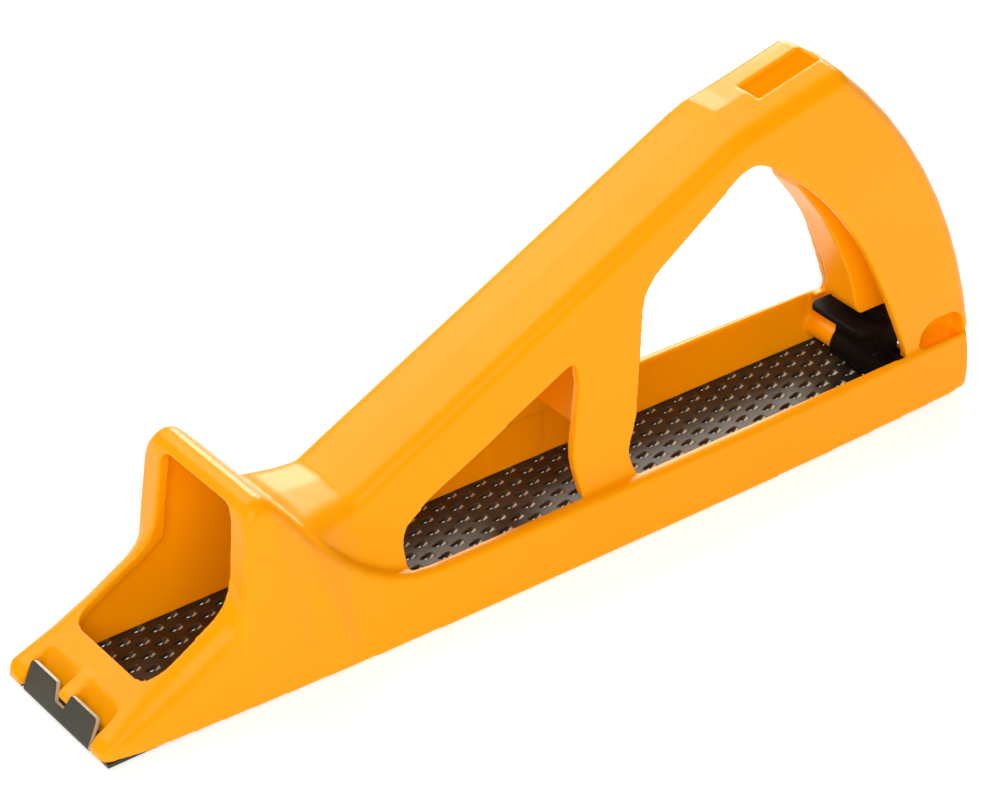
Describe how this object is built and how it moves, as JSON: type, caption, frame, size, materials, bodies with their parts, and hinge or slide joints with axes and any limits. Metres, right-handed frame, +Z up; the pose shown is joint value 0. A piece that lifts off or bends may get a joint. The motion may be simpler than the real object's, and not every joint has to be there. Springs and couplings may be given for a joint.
{
  "type": "rasp plane",
  "caption": "Hand rasp plane: a moulded body with an arched grip and an open nose carries a flat perforated rasp blade under its rails, tensioned by a cam lever at the heel.",
  "frame": {"origin": "centre of the bounding box at the tips of the teeth, where the tool rests on the work", "axes": "+X from the nose to the tail along the blade, +Y across the tool, +Z up through the grip"},
  "size_m": [0.2636, 0.0498, 0.1016],
  "materials": {
    "orange_plastic": "glossy moulded orange plastic",
    "blade_steel": "dark oiled hardened steel, bare on its sheared edges",
    "black_plastic": "satin black moulded plastic",
    "pin_steel": "plain drawn steel"
  },
  "bodies": {
    "frame": {"body": "orange_plastic", "lever_pin": "pin_steel"},
    "blade": {"rasp_blade": "blade_steel"},
    "lever": {"release_lever": "black_plastic"}
  },
  "joints": [
    {"name": "lever_release", "type": "hinge", "parent": "frame", "child": "lever", "pos_m": [0.10925, 0, 0.0076], "axis": [0, -1, 0], "range_deg": [0, 40]},
    {"name": "blade_release", "type": "slide", "parent": "frame", "child": "blade", "axis": [-1, 0, 0], "range_m": [0, 0.002]}
  ],
  "couplings": [
    {"joint": "lever_release", "follows": "blade_release", "rad_per_m": 349}
  ]
}
